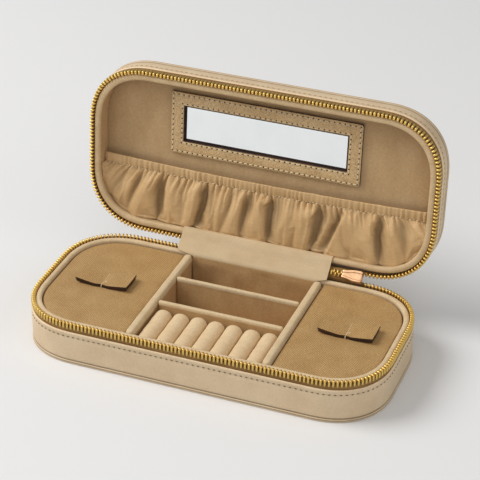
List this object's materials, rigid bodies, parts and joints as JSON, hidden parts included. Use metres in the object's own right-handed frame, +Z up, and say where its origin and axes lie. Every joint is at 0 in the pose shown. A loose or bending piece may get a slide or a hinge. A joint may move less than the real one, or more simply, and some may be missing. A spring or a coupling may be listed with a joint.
{
  "type": "travel jewelry case",
  "caption": "Zip-round travel jewelry case with rounded ends, hinged lid with mirror and gathered pocket, ring rolls, divided bays and lift-off bay covers.",
  "frame": {"origin": "centre of the base's flat underside, on the surface that the case stands on", "axes": "+X along the case's long side to the user's right, +Y from the opening front to the hinge at the back, +Z up"},
  "size_m": [0.24, 0.1469, 0.1458],
  "materials": {
    "outer_leather": "fine-grained faux leather, champagne beige",
    "saffiano_leather": "cross-hatched faux leather, golden beige",
    "tan_suede": "short-pile microsuede, tan",
    "cream_suede": "short-pile microsuede, cream",
    "zip_tape": "woven zip tape, golden olive",
    "zip_metal": "polished brass zip teeth",
    "slider_metal": "polished rose-gold plated zinc",
    "pocket_satin": "soft gathered satin-weave lining",
    "stiffener_board": "pressed fibre board",
    "mirror": "silvered flat glass"
  },
  "bodies": {
    "base": {"base_bottom_panel": "outer_leather", "base_bottom_welt": "outer_leather", "base_outer_wall": "outer_leather", "base_shell_core": "stiffener_board", "base_zip_tape": "zip_tape", "base_zip_teeth": "zip_metal", "base_inner_wall": "cream_suede", "base_rim_padding": "cream_suede", "base_floor_lining": "tan_suede", "divider_left": "cream_suede", "divider_right": "cream_suede", "cross_divider_rear": "cream_suede", "cross_divider_front": "cream_suede", "ring_roll_base": "tan_suede", "ring_roll_1": "cream_suede", "ring_roll_2": "cream_suede", "ring_roll_3": "cream_suede", "ring_roll_4": "cream_suede", "ring_roll_5": "cream_suede", "ring_roll_6": "cream_suede", "ring_roll_7": "cream_suede", "hinge_gusset_base": "cream_suede", "hinge_spine_base": "outer_leather", "zip_top_stop_base": "zip_metal"},
    "lid": {"lid_top_panel": "outer_leather", "lid_top_welt": "outer_leather", "lid_outer_wall": "outer_leather", "lid_shell_core": "stiffener_board", "lid_zip_tape": "zip_tape", "lid_zip_teeth": "zip_metal", "lid_rim_padding": "cream_suede", "lid_inner_wall": "cream_suede", "lid_lining_panel": "tan_suede", "mirror_frame": "saffiano_leather", "mirror_backing": "stiffener_board", "mirror_glass": "mirror", "pocket_fabric": "pocket_satin", "pocket_elastic_band": "pocket_satin", "hinge_gusset_lid": "cream_suede", "hinge_spine_lid": "outer_leather", "zip_top_stop_lid": "zip_metal"},
    "cover_left": {"cover_board_left": "saffiano_leather", "cover_tab_left": "saffiano_leather"},
    "cover_right": {"cover_board_right": "saffiano_leather", "cover_tab_right": "saffiano_leather"},
    "zip_chain": {"zip_bottom_stop": "zip_metal", "zip_chain_engaged": "zip_metal"},
    "zip_slider": {"zip_slider_body": "slider_metal", "zip_slider_bail": "slider_metal"},
    "zip_pull": {"zip_pull": "slider_metal"}
  },
  "joints": [
    {"name": "lid_hinge", "type": "hinge", "parent": "base", "child": "lid", "pos_m": [0, 0.059, 0.0304], "axis": [-1, 0, 0], "range_deg": [-95, 10]},
    {"name": "cover_left_lift", "type": "slide", "parent": "base", "child": "cover_left", "axis": [0, 0, 1], "range_m": [0, 0.012]},
    {"name": "cover_right_lift", "type": "slide", "parent": "base", "child": "cover_right", "axis": [0, 0, 1], "range_m": [0, 0.012]},
    {"name": "slider_tilt", "type": "hinge", "parent": "base", "child": "zip_chain", "pos_m": [0.068, 0.059, 0.0304], "axis": [-1, 0, 0], "range_deg": [-47.5, 5]},
    {"name": "zip_travel", "type": "slide", "parent": "zip_chain", "child": "zip_slider", "axis": [-1, 0, 0], "range_m": [0, 0.0075]},
    {"name": "pull_swing", "type": "hinge", "parent": "zip_slider", "child": "zip_pull", "pos_m": [0.068, 0.06047, 0.0285], "axis": [1, 0, 0], "range_deg": [0, 70]}
  ],
  "couplings": [
    {"joint": "slider_tilt", "follows": "lid_hinge", "ratio": 0.5}
  ]
}
